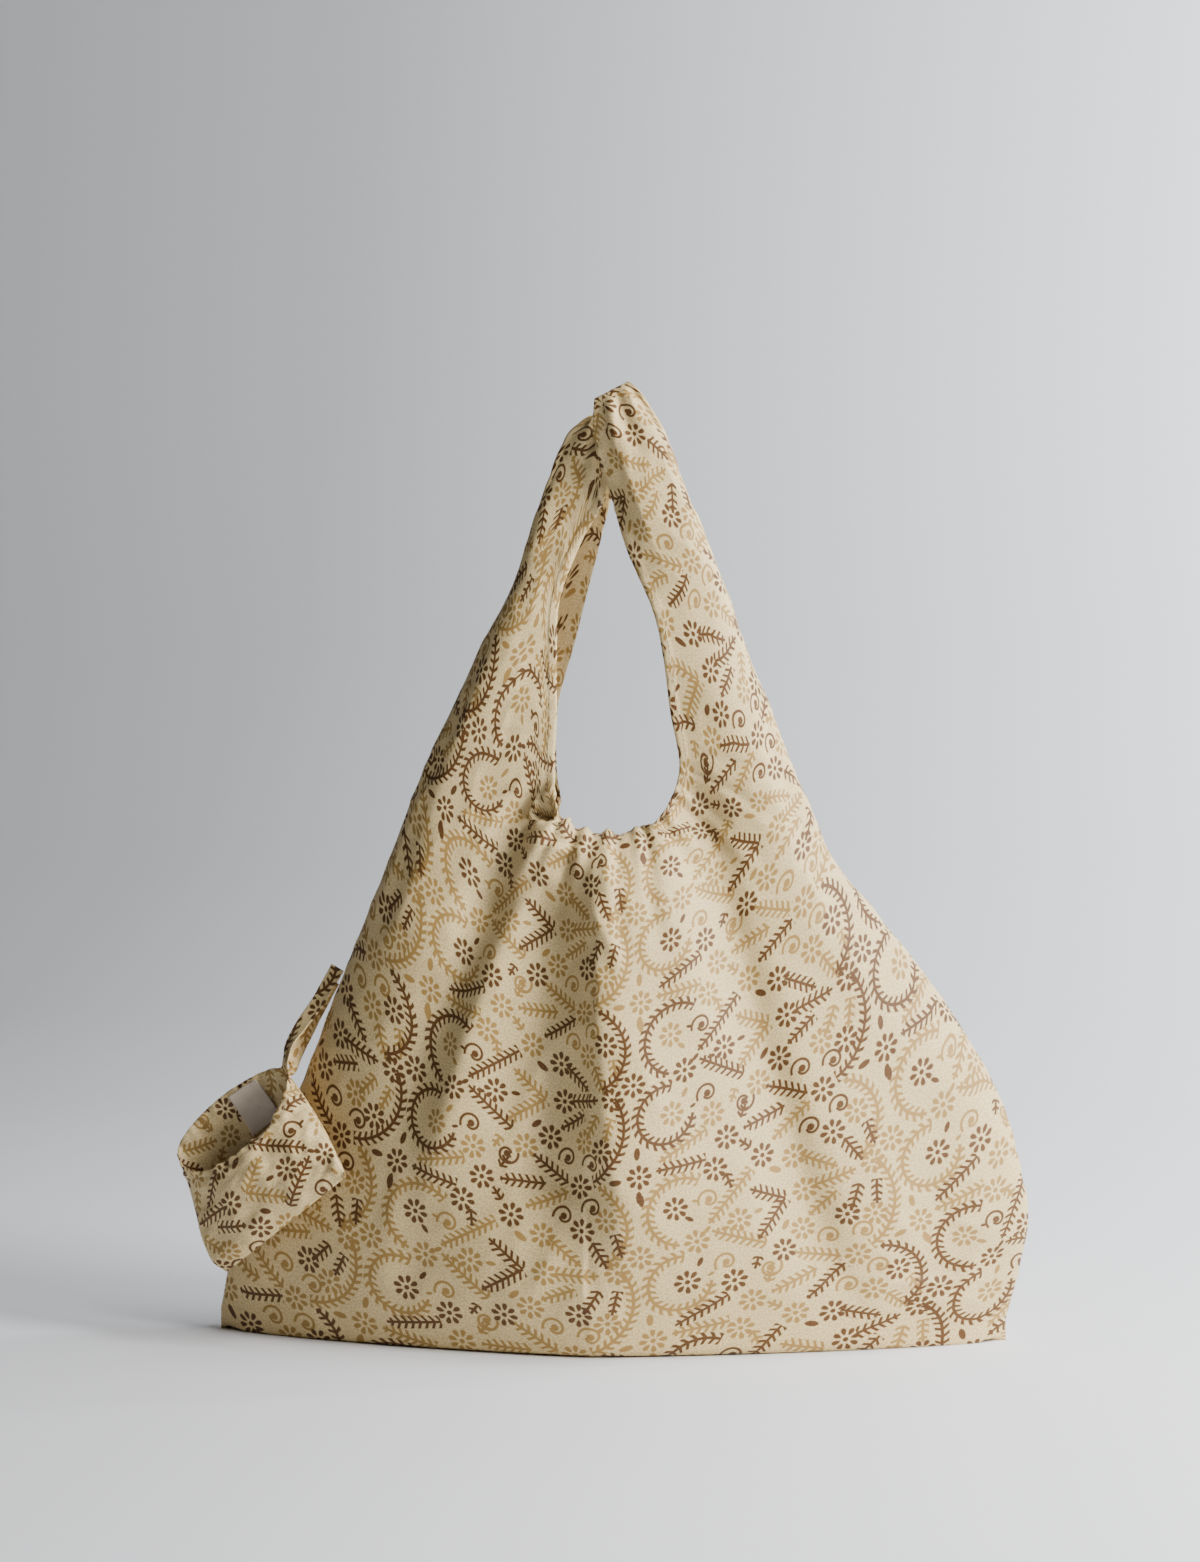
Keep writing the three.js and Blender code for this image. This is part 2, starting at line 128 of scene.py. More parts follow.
def new_material(name):
    """A material with its tree, its Principled shader and the cloth's own coordinates in mm."""
    material = bpy.data.materials.new(name)
    material.use_nodes = True
    tree = material.node_tree
    shader = tree.nodes["Principled BSDF"]
    place = add_node(tree, "ShaderNodeUVMap", {"uv_map": "cloth"})
    scaled = place.node("ShaderNodeVectorMath", {"operation": "SCALE"}, place, Scale=1000.0)
    return material, tree, shader, scaled


# %% [markdown]
# ## Floor and lights
# The bag stands on a plain floor that curves up into its backdrop, whose colour holds painted light and
# shade: lighter to the right and the front, towards the light, and darker to the left and the back. Two
# flat planes would show a line between them, so one strip of faces is bent along a short table.
# The main light stands low at the right, which leaves the left flank of each fold in shade.

# %% Sweep and lights
SWEEP = [  # y, z
    (-4.0, 0.0), (1.2, 0.0), (1.7, 0.04), (2.2, 0.18), (2.6, 0.45), (2.85, 0.85), (2.95, 1.4),
    (3.0, 2.0), (3.0, 6.0),
]


def sweep():
    """A floor that curves up into a backdrop."""
    mesh = bpy.data.meshes.new("sweep")
    corners = [(x, y, z) for y, z in SWEEP for x in (-7, 7)]
    mesh.from_pydata(corners, [], [(2 * i, 2 * i + 1, 2 * i + 3, 2 * i + 2) for i in range(len(SWEEP) - 1)])
    mesh.shade_smooth()
    piece = bpy.data.objects.new("sweep", mesh)
    bpy.context.scene.collection.objects.link(piece)
    material = bpy.data.materials.new("sweep")
    material.use_nodes = True
    shader = material.node_tree.nodes["Principled BSDF"]
    place = add_node(material.node_tree, "ShaderNodeTexCoord", {}, out=3)
    parts = place.node("ShaderNodeSeparateXYZ", {}, place)
    away = Socket(parts.tree, parts.output.node.outputs[1])
    # Painted light and shade: the floor and backdrop are coloured lighter to the right and the front,
    # towards the light, and darker to the left and the back.
    painted_light = away.fused(-0.1, parts.fused(0.6, 0.66), clamp=True)
    colour = mixed(painted_light, (0.5, 0.495, 0.5, 1), (0.93, 0.945, 0.975, 1))
    material.node_tree.links.new(colour.output, shader.inputs["Base Color"])
    shader.inputs["Roughness"].default_value = 0.8
    mesh.materials.append(material)


sweep()

LIGHTS = [
    # name, where it is, what it points at, width, height, watts, colour
    ("key", (1.72, -0.8, 1.1), (0.0, 0.0, 0.22), 0.7, 0.9, 80, (1.0, 0.98, 0.95)),
    ("top", (1.5, 0.0, 2.4), (0.6, -0.5, 0.0), 1.2, 1.2, 75, (0.93, 0.965, 1.0)),
    ("wall", (2.5, 1.2, 1.3), (1.3, 2.9, 0.9), 1.0, 1.6, 150, (0.9, 0.95, 1.0)),
]
for name, where, at, wide, high, watts, colour in LIGHTS:
    light = bpy.data.lights.new(name, "AREA")
    light.shape, light.size, light.size_y = "RECTANGLE", wide, high
    light.energy, light.color = watts, colour
    lamp = bpy.data.objects.new(name, light)
    lamp.location = where
    lamp.rotation_euler = (Vector(at) - Vector(where)).to_track_quat("-Z", "Y").to_euler()
    bpy.context.scene.collection.objects.link(lamp)

world = bpy.data.worlds.new("studio")
world.use_nodes = True
world.node_tree.nodes["Background"].inputs["Color"].default_value = (0.86, 0.87, 0.9, 1)
world.node_tree.nodes["Background"].inputs["Strength"].default_value = 0.045
bpy.context.scene.world = world

# %% [markdown]
# ## The bag's form
# A drape simulation of a filled bag would need its unknown contents, and would give other folds
# each time that it is tuned. The form is lofted instead: the side seams, the middle line and the
# hand opening are curves in the front view, and a depth with a squareness rounds each row between
# them. Millimetres, up to where the meshes are made.

# %% Tables of the form
SEAM_GAP = 0.04
CROWDING = 0.75
TOP_CROWDING = 1.25
CORNER = 0.08
FOOT = 13
MIDDLE = [  # up, x, z
    (0, 3, 13), (0.15, 3, 44), (0.3, 3, 90), (0.45, 3, 138), (0.6, 3, 186), (0.75, 3, 232),
    (0.88, 4, 272), (1, 4, 304),
]
BASE = [  # step, reach, rise, corner
    (0, 0, 0, 0), (1, 0.34, 0, 1.6), (2, 0.66, 0, 3.4), (3, 0.87, 0, 5.6), (4, 0.965, 0.28, 8.6),
    (5, 1, 1, 13),
]
DEPTH = [  # up, front, back, square
    (0, 86, 86, 1.3), (0.15, 92, 93, 1.36), (0.3, 90, 91, 1.42), (0.45, 82, 80, 1.5),
    (0.6, 70, 67, 1.6), (0.75, 55, 52, 1.8), (0.88, 40, 37, 2), (1, 28, 26, 2.2),
    (1.15, 23, 20, 2.4), (1.3, 22, 19, 2.5), (1.5, 20, 17, 2.6), (1.7, 16, 13, 2.8),
    (1.8, 12, 9, 2.8), (1.9, 9, 6, 2.6), (1.96, 6.5, 5, 2.4), (1.985, 4, 3.2, 2.2), (2, 0, 0, 2),
]
SEAM = {  # up, x, y, z
    "left": [
        (0, -238, 0, 13), (0.15, -231, 0, 46), (0.3, -214, 0, 94), (0.45, -190.5, 0, 145),
        (0.6, -168, 0, 203), (0.75, -148, 0, 254), (0.88, -131, 0, 296), (1, -118, 0, 331),
        (1.15, -104, 0, 364), (1.3, -90, 0, 392), (1.45, -74, 1.5, 428), (1.6, -56.5, 4, 460),
        (1.7, -46, 6.5, 492), (1.8, -36, 8.5, 523), (1.9, -22.5, 9.5, 556), (1.96, -12, 9.5, 567),
        (2, -5, 9.5, 571),
    ],
    "right": [
        (0, 250, 0, 13), (0.15, 258, 0, 44), (0.3, 263.5, 0, 82), (0.45, 247, 0, 148),
        (0.6, 213, 0, 207), (0.75, 172, 0, 261), (0.88, 145, 0, 294), (1, 133, 0, 322),
        (1.15, 117, 0, 358), (1.3, 106, 0, 388), (1.45, 93, -1, 420), (1.6, 79.5, -3, 459),
        (1.7, 67, -5, 492), (1.8, 55, -7, 521), (1.9, 40, -8, 560), (1.96, 27.5, -8, 581),
        (2, 18.5, -8, 590),
    ],
}
OPENING = {  # up, x, z
    ("left", "front"): [
        (1, 4, 304), (1.08, -6, 303), (1.15, -14, 303.5), (1.22, -20.5, 309), (1.3, -23.5, 323),
        (1.4, -26, 352), (1.5, -25, 385), (1.6, -25.5, 420), (1.7, -24, 455), (1.8, -11, 491),
        (1.9, 3, 518), (1.96, 6.5, 545), (2, 6, 576),
    ],
    ("left", "back"): [
        (1, 4, 301), (1.08, -6, 301), (1.15, -16, 302), (1.22, -23, 309), (1.3, -27, 324),
        (1.4, -29, 352), (1.5, -28, 390), (1.6, -18, 427), (1.7, -9, 463), (1.8, 0, 497),
        (1.9, 6, 522), (1.96, 7, 548), (2, 6, 576),
    ],
    ("right", "front"): [
        (1, 4, 304), (1.08, 14, 306), (1.15, 24, 309), (1.22, 35, 317), (1.3, 45, 332),
        (1.4, 50.5, 354), (1.5, 45, 386), (1.6, 41, 418), (1.7, 34, 449), (1.8, 19, 483),
        (1.9, 5, 525), (1.96, -3, 556), (2, -3, 579),
    ],
    ("right", "back"): [
        (1, 4, 301), (1.08, 14, 302), (1.15, 24, 305), (1.22, 37, 314), (1.3, 49, 332),
        (1.4, 54, 356), (1.5, 50, 388), (1.6, 45, 420), (1.7, 38, 451), (1.8, 24, 485),
        (1.9, 10, 528), (1.96, 6, 556), (2, -3, 579),
    ],
}
TUCK_CREASE = 13 / 16
TUCK = [(1.7, 0), (1.8, 5), (1.9, 12), (1.96, 8), (2, 0)]  # up, back
FOLDS = {  # top, topX, midX, foot, footX, height, left, right, fade
    "front": [
        (276, 4, 12, 26, 28, 14.5, 14, 50, 100), (266, -38, -31, 40, -14, -12.5, 46, 26, 80),
        (318, -25, -73, 56, -103, 8.5, 13, 44, 90), (326, -44, -91, 100, -119, -6, 22, 14, 70),
        (330, 62, 110, 6, 158, -8, 26, 13, 90), (322, 34, 58, 160, 66, 3, 14, 18, 70),
        (400, -70, -108, 220, -126, 3, 14, 20, 80), (390, 78, 122, 180, 168, 4, 18, 22, 80),
        (150, 190, 206, 20, 214, -3, 18, 22, 60),
    ],
    "back": [
        (274, 4, -4.5, 26, -16, -8, 18, 24, 110), (292, 23, 28, 50, 34, 9, 16, 36, 90),
        (318, -40, -72, 50, -112, 8, 28, 15, 90), (326, 62, 104, 30, 142, -6, 15, 24, 90),
        (390, 84, 126, 170, 174, 4, 17, 22, 80), (380, -78, -110, 190, -142, -3, 17, 20, 80),
    ],
}
FOLD_TOP, FOLD_START, FOLD_FULL = 40, 0.04, 0.16


# %% Curves and noise
def curve(rows, at, column=1):
    """A smooth curve through one column of a table, whose first column is where it is."""
    table = np.array(rows, float)
    key, value = table[:, 0], table[:, column]
    last = len(key) - 1
    n = np.arange(last + 1)
    before, after = np.maximum(n - 1, 0), np.minimum(n + 1, last)
    slope = (value[after] - value[before]) / (key[after] - key[before])
    at = np.clip(at, key[0], key[-1])
    i = np.clip(np.searchsorted(key, at, side="right") - 1, 0, last - 1)
    span = key[i + 1] - key[i]
    t = (at - key[i]) / span
    ends = value[i] * (1 + 2 * t) * (1 - t) ** 2 + value[i + 1] * (3 - 2 * t) * t**2
    return ends + span * (slope[i] * t * (1 - t) ** 2 - slope[i + 1] * (1 - t) * t**2)


def smooth(x, low, high):
    t = np.clip((x - low) / (high - low), 0, 1)
    return t * t * (3 - 2 * t)


RANDOM = np.random.default_rng(5).random((64, 64))


def noise(x, y):
    """Smooth noise from -1 to 1 over a plane, with features about one unit apart."""
    i, j = np.floor(x).astype(int), np.floor(y).astype(int)
    a, b = smooth(x - i, 0, 1), smooth(y - j, 0, 1)
    value = 0
    for di, wa in ((0, 1 - a), (1, a)):
        for dj, wb in ((0, 1 - b), (1, b)):
            value = value + wa * wb * RANDOM[(i + di) % 64, (j + dj) % 64]
    return 2 * value - 1


def creased(x, y, sharp=1.6):
    """Crumples: smooth hollows between narrow ridges, from -1 to 1."""
    ridge = 1 - np.abs(noise(x, y) + 0.35 * noise(2.1 * x + 7, 2.3 * y + 3))
    return 2 * np.clip(ridge, 0, 1) ** sharp - 1


def fold_height(face, x, z):
    height = np.zeros_like(x)
    for top, top_x, mid_x, foot, foot_x, tall, left, right, fade in FOLDS[face]:
        along = (top - z) / (top - foot)
        line = top_x + (foot_x - top_x) * along
        line = line + 4 * (mid_x - (top_x + foot_x) / 2) * along * (1 - along)
        width = np.where(x < line, left, right)
        above = smooth(top + FOLD_TOP - z, 0, FOLD_TOP)
        below = smooth(z - foot, 0, fade)
        height += tall * np.exp(-(((x - line) / width) ** 2)) * above * below
    return height


# %% [markdown]
# ## Sheets
# A sheet is a grid of points with its print coordinates. It gets its second face by moving each
# point in along its normal, as the solids do, because a Solidify modifier would round the outline
# off at the seams. The print coordinates are lengths on the cloth itself: outward from the middle
# line, and up from the bottom seam, so the print keeps its size wherever the cloth turns.

# %% Sheet functions
THICK = 0.7  # of the cloth that shows, inside its solid's 1.2


def normals_of(points, faces):
    normals = np.zeros_like(points)
    corners = points[faces]
    flat = np.cross(corners[:, 1] - corners[:, 0], corners[:, 2] - corners[:, 0])
    for k in range(3):
        np.add.at(normals, faces[:, k], flat)
    return normals / (np.linalg.norm(normals, axis=1, keepdims=True) + 1e-12)


def open_edges(quads):
    """The edges of only one quad, in that quad's direction."""
    ends = np.concatenate([quads[:, [k, (k + 1) % 4]] for k in range(4)])
    ends = ends[ends[:, 0] != ends[:, 1]]
    count = ends.max() + 1
    forward = ends[:, 0] * count + ends[:, 1]
    backward = ends[:, 1] * count + ends[:, 0]
    return ends[~np.isin(forward, backward)]


def sheet_object(name, points, quads, uv, normals, thick, material):
    """A closed thin body behind a grid of quads, in metres, with its cloth coordinates."""
    count = len(points)
    inside = points - normals * thick
    rim = open_edges(quads)
    sides = np.stack([rim[:, 1], rim[:, 0], count + rim[:, 0], count + rim[:, 1]], 1)
    faces = np.concatenate([quads, count + quads[:, ::-1], sides])
    shape = bpy.data.meshes.new(name)
    polygons = [list(dict.fromkeys(face)) for face in faces.tolist()]
    shape.from_pydata((np.concatenate([points, inside]) / 1000).tolist(), [], polygons)
    layer = shape.uv_layers.new(name="cloth")
    at = np.zeros(len(shape.loops), dtype=np.int32)
    shape.loops.foreach_get("vertex_index", at)
    both = np.concatenate([uv, uv]) / 1000
    layer.data.foreach_set("uv", both[at].ravel())
    shape.shade_smooth()
    shape.materials.append(material)
    piece = bpy.data.objects.new(name, shape)
    bpy.context.scene.collection.objects.link(piece)
    print(f"{name}: {sum(len(p) - 2 for p in polygons)} triangles")
    return piece


# %% [markdown]
# ## The print
# Flowers, fern sprigs, leafy vines, curls and leaves in two inks, brown and tan, which swap places
# in every second band. A scattered texture would look random, so the motifs are charted one by one in
# one band of a repeat, in the cloth's millimetres, and each is a few lines of shader arithmetic.
# Motifs near an edge of the band are added again beyond the opposite edge.

# %% Chart of one band
REPEAT_WIDE, REPEAT_DROP, BAND = 153.0, 27.0, 104.0
FLOWERS = [  # ink, u, v
    ("tan", -7, 3), ("brown", 8, -2), ("brown", -9, -24), ("tan", -47, -7), ("brown", -94, 13),
    ("brown", -69, -33), ("tan", -77, -17), ("tan", -102, -11), ("brown", -48, -50),
    ("brown", -77, -50), ("brown", -122, -45), ("tan", -29, -57), ("tan", 9, -43),
    ("brown", -6, -50), ("tan", 14, -75), ("tan", -26, -79), ("brown", -103, -68), ("tan", -68, -84),
    ("tan", -33, -102), ("tan", -126, -94),
]
SPRIGS = [  # ink, u, v, angle, length, half width
    ("brown", -18, -23, 153, 27, 4.6), ("brown", -56, 1, 150, 33, 4.6), ("brown", -32, -26, -170, 27, 4.5),
    ("brown", -60, -24, 61, 10, 3.6), ("brown", -55, -43, 136, 9, 3.6), ("brown", -82, -43, 180, 30, 4.5),
    ("brown", -71, -54, -78, 10, 3.6), ("tan", -25, -58, -34, 23, 4.4), ("brown", 0, -56, -62, 18, 4.6),
    ("brown", 14, -51, -78, 15, 4.0), ("tan", -20, -78, 5, 24, 4.6), ("brown", -38, -80, 149, 24, 4.8),
    ("brown", -38, -80, -139, 29, 4.8), ("brown", 4, -85, -120, 17, 4.2), ("brown", 14, -86, -104, 15, 3.6),
    ("tan", -81, -25, -156, 32, 4.4), ("tan", -62, -6, -115, 8, 3.4), ("tan", -17, -28, -148, 28, 4.2),
    ("tan", -56, -56, -139, 39, 4.3), ("tan", -9, -85, -150, 21, 4.2),
]
VINES = [  # ink, u and v of the arc's centre, radius, middle angle, half length
    ("brown", -106, -11, 17, 215, 41), ("tan", -99, -71, 20.5, 156, 36), ("tan", -3, -47, 24.5, 4, 30),
    ("tan", -11, -93, 33, -18, 31),
]
CURLS = [  # ink, u, v, angle
    ("brown", -20, -8, 20), ("brown", -1, -10, 10), ("brown", -80, -4, 30), ("brown", 0, -36, 25),
    ("brown", -18, -43, 15), ("tan", -83, -67, 20), ("brown", -57, -15, 200),
]
LEAVES = [  # ink, u, v, angle, half length
    ("brown", -123, -31, -92, 3.8), ("brown", -123, -57, -95, 3.8), ("brown", -77, 17, 5, 2.6),
    ("brown", 31, -32, -90, 3.8), ("tan", -94, 0, 60, 3.0), ("brown", -89, -9, 25, 2.0),
    ("tan", -91, -66, -15, 2.0), ("tan", -42, -96, 46, 3.6), ("tan", -41, -61, 150, 4.0),
    ("brown", -136, -47, 10, 3.8), ("tan", -56, -82, 8, 2.8), ("brown", -96, -76, -38, 2.8),
    ("tan", -87, -85, 40, 2.6),
]


# %% Motifs as arithmetic
INK_EDGE = 2.6  # how fast ink ends at a motif's edge, to a mm
LEAFLET_EDGE = 11.0  # the same for leaflets, to a step
PETALS, PETAL_AT, PETAL_LONG, PETAL_WIDE, HEART = 8, 5.1, 2.35, 0.265, 1.45
SPRIG_STEP, VINE_STEP, VINE_WIDE = 4.1, 4.6, 4.2
CURL_SCALE, CURL_OUT, CURL_TURN, CURL_DOT = 1.25, 3.6, 0.55, 1.7


def turned(u, v, at_u, at_v, angle, scale):
    """Coordinates in a motif's own frame, in steps of scale."""
    c, s = math.cos(math.radians(angle)) / scale, math.sin(math.radians(angle)) / scale
    along = u.fused(c, v.fused(s, -at_u * c - at_v * s))
    across = u.fused(-s, v.fused(c, at_u * s - at_v * c))
    return along, across


def distance(x, y):
    return y.fused(y, x * x).math("SQRT")


def flower(u, v, at_u, at_v):
    x, y = u + -at_u, v + -at_v
    r = distance(x, y)
    swing = y.math("ARCTAN2", x).math("PINGPONG", math.pi / PETALS) * (1 / PETAL_WIDE)
    out = r.fused(1 / PETAL_LONG, -PETAL_AT / PETAL_LONG)
    petals = swing.fused(swing, out * out).fused(-1.8, 2.3)
    heart = r.fused(-INK_EDGE, INK_EDGE * HEART + 0.5)
    return petals.math("MAXIMUM", heart)


def leafy(along, across, half, wide):
    """Paired leaflets on a stem, over the length 2 half. All lengths are in steps of the leaflets."""
    side = across.math("ABSOLUTE")
    stripe = side.fused(-0.6, along).math("PINGPONG", 0.5).fused(-LEAFLET_EDGE, 3.0)
    room = along.fused(-0.7, 0.7 * (half + 0.4)).math("MINIMUM", wide) - side
    leaflets = stripe.math("MINIMUM", room * 8.0)
    stem = side.fused(-LEAFLET_EDGE, 2.75)
    ends = along.math("ABSOLUTE").fused(-LEAFLET_EDGE, LEAFLET_EDGE * half + 0.5)
    return leaflets.math("MAXIMUM", stem).math("MINIMUM", ends)


def sprig(u, v, at_u, at_v, angle, length, wide):
    along, across = turned(u, v, at_u, at_v, angle, SPRIG_STEP)
    return leafy(along, across, length / 2 / SPRIG_STEP, wide / SPRIG_STEP)


def vine(u, v, at_u, at_v, radius, angle, half):
    x, y = turned(u, v, at_u, at_v, angle, VINE_STEP)
    along = y.math("ARCTAN2", x) * (radius / VINE_STEP)
    across = distance(x, y) + -radius / VINE_STEP
    return leafy(along, across, half / VINE_STEP, VINE_WIDE / VINE_STEP)


def curl(u, v, at_u, at_v, angle):
    x, y = turned(u, v, at_u, at_v, angle, CURL_SCALE)
    r = distance(x, y)
    off = y.math("ARCTAN2", x).fused(-CURL_TURN, r + -CURL_OUT).math("ABSOLUTE")
    dot = r.fused(-INK_EDGE, INK_EDGE * CURL_DOT + 0.5)
    return off.fused(-INK_EDGE, 2.2).math("MAXIMUM", dot)


def leaf(u, v, at_u, at_v, angle, half):
    x, y = turned(u, v, at_u, at_v, angle, half)
    wide = y * 2.1
    return wide.fused(wide, x * x).fused(-2.5, 3.0)


def spread(rows, shape, reach):
    """Each motif with its copies in the band: its ink, how to draw it, and where it is."""
    for ink, at_u, at_v, *more in rows:
        size = reach(*more)
        for i in (-2, -1, 0, 1, 2):
            for j in (-2, -1, 0, 1, 2):
                x, y = at_u + REPEAT_WIDE * i, at_v + REPEAT_DROP * i + BAND * j
                lag = y - x * REPEAT_DROP / REPEAT_WIDE
                if -size < x < REPEAT_WIDE + size and -size < lag < BAND + size:
                    inks = ("brown", "tan") if j % 2 == 0 else ("tan", "brown")
                    yield inks[0 if ink == "brown" else 1], shape, (x, y, *more)


def centred(ink, u, v, angle, length, wide):
    """A sprig's row with its middle in place of its foot."""
    away = length / 2 * np.array([math.cos(math.radians(angle)), math.sin(math.radians(angle))])
    return (ink, u + away[0], v + away[1], angle, length, wide)


def reach_of_sprig(angle, length, wide):
    return length / 2 + 1


def reach_of_vine(radius, angle, half):
    return radius + 4


MOTIFS = [
    *spread(FLOWERS, flower, lambda: 7.6),
    *spread([centred(*row) for row in SPRIGS], sprig, reach_of_sprig),
    *spread(VINES, vine, reach_of_vine),
    *spread(CURLS, curl, lambda angle: 7),
    *spread(LEAVES, leaf, lambda angle, half: half),
]
print(len(MOTIFS), "motifs with their copies in one band")


# %% Printed cloth
GROUND, GROUND_DEEP = (0.88, 0.69, 0.36, 1), (0.6, 0.43, 0.19, 1)
BROWN, TAN = (0.11, 0.042, 0.007, 1), (0.34, 0.185, 0.036, 1)


def printed_cloth():
    material, tree, shader, place = new_material("printed_cloth")
    parts = place.node("ShaderNodeSeparateXYZ", {}, place)
    u, v = parts, Socket(tree, parts.output.node.outputs[1])
    lag = u.fused(-REPEAT_DROP / REPEAT_WIDE, v)
    cell_u = u.math("WRAP", REPEAT_WIDE, 0.0)
    cell_lag = lag.math("WRAP", BAND, 0.0)
    cell_v = cell_u.fused(REPEAT_DROP / REPEAT_WIDE, cell_lag)
    swap = (lag * (1 / BAND)).math("FLOOR").math("PINGPONG", 1.0)
    inks = {}
    for ink, shape, numbers in MOTIFS:
        motif = shape(cell_u, cell_v, *numbers)
        inks[ink] = inks[ink].math("MAXIMUM", motif) if ink in inks else motif
    first, second = (inks[ink].node("ShaderNodeClamp", {}, inks[ink], 0.0, 1.0) for ink in ("brown", "tan"))
    change = second - first
    brown, tan = swap.fused(change, first), swap.fused(change * -1.0, second)

    grain = place.node("ShaderNodeTexNoise", {}, place, Scale=0.9, Detail=1.5, Roughness=0.6)
    cloudy = place.node("ShaderNodeTexNoise", {}, place, Scale=0.045, Detail=3.0)
    ground = mixed(grain.fused(3.4, -1.15, clamp=True), GROUND_DEEP, GROUND)
    ground = mixed(cloudy.fused(1.2, -0.35, clamp=True) * 0.22, ground, GROUND_DEEP)
    worn = grain.fused(0.5, 0.75, clamp=True)
    colour = mixed(tan * worn * 0.9, ground, TAN)
    colour = mixed(brown * worn, colour, BROWN)
    warp = (u * (2 * math.pi / 0.9)).math("SINE")
    weft = (v * (2 * math.pi / 0.8)).math("SINE")
    relief = warp.fused(weft, grain * 2.4)
    bump = relief.node("ShaderNodeBump", {}, 0.16, 0.0004, Height=relief)
    tree.links.new(colour.output, shader.inputs["Base Color"])
    tree.links.new(bump.output, shader.inputs["Normal"])
    gloss = grain.fused(0.16, 0.5)
    tree.links.new(gloss.output, shader.inputs["Roughness"])
    shader.inputs["Sheen Weight"].default_value = 0.06
    shader.inputs["Sheen Roughness"].default_value = 0.45
    shader.inputs["Specular IOR Level"].default_value = 0.35
    print("nodes in the printed cloth:", len(tree.nodes))
    return material


CLOTH = printed_cloth()

# %% [markdown]
# ## The two panels
# Both come from one function, at about 3 mm between points, so gathers and hems show. The small
# folds are of four kinds: gathers that fan out from the neck, puckers along the hem and the seams,
# and crumples where the cloth was folded away.

# %% Panel grid
COLUMNS, BASE_ROWS, WALL_ROWS, STRAP_ROWS = 72, 15, 130, 140


def panel_grid(side, face):
    """Points of half a panel as rows of columns, with each row's up and each point's part."""
    wall = np.arange(WALL_ROWS + 1) / WALL_ROWS
    strap = 2 - (1 - np.arange(1, STRAP_ROWS + 1) / STRAP_ROWS) ** TOP_CROWDING
    up = np.concatenate([wall, strap])[:, None]
    share = (np.arange(COLUMNS + 1) / COLUMNS)[None, :]
    turn = np.pi / 2 * share**CROWDING
    square = curve(DEPTH, up, 3)
    part = 1 - np.maximum(np.cos(turn), 0) ** (2 / square)
    out = np.sin(turn) ** (2 / square)
    inner = OPENING[side, face]
    inner_x = np.where(up <= 1, curve(MIDDLE, up, 1), curve(inner, up, 1))
    inner_z = np.where(up <= 1, curve(MIDDLE, up, 2), curve(inner, up, 2))
    seam_x, seam_y, seam_z = (curve(SEAM[side], up, k) for k in (1, 2, 3))
    stand = curve(DEPTH, up, 1 if face == "front" else 2) * out
    if side == "right" and face == "front":
        stand = stand - curve(TUCK, up) * (up > 1) * np.maximum(share - TUCK_CREASE, 0) / (1 - TUCK_CREASE)
    sign = -1 if face == "front" else 1
    x = seam_x + (inner_x - seam_x) * part
    y = seam_y + sign * (stand + SEAM_GAP / 2)
    z = seam_z + (inner_z - seam_z) * part
    above = np.stack([x, y, z], 2)

    step = (np.arange(BASE_ROWS) * 5 / BASE_ROWS)[:, None]
    near = 1 - smooth(part[0], 0, CORNER)[None, :]
    rise = FOOT * curve(BASE, step, 2)
    base_z = np.maximum(rise + (curve(BASE, step, 3) - rise) * near, 0)
    base_y = sign * ((np.abs(y[0]) - SEAM_GAP / 2)[None, :] * curve(BASE, step, 1) + SEAM_GAP / 2)
    below = np.stack([np.broadcast_to(x[0], base_z.shape), base_y, base_z], 2)
    return np.concatenate([below, above]), np.concatenate([np.zeros(BASE_ROWS), up[:, 0]]), part


GATHER, BUNCH, HEM_RISE, SEAM_PUCKER = 1.6, 3.6, 0.55, 0.5  # heights of the small folds, in mm
CRUMPLE, FINE_CRUMPLE, FOOT_CRUMPLE, RUFFLE = 1.25, 0.5, 1.6, 1.3


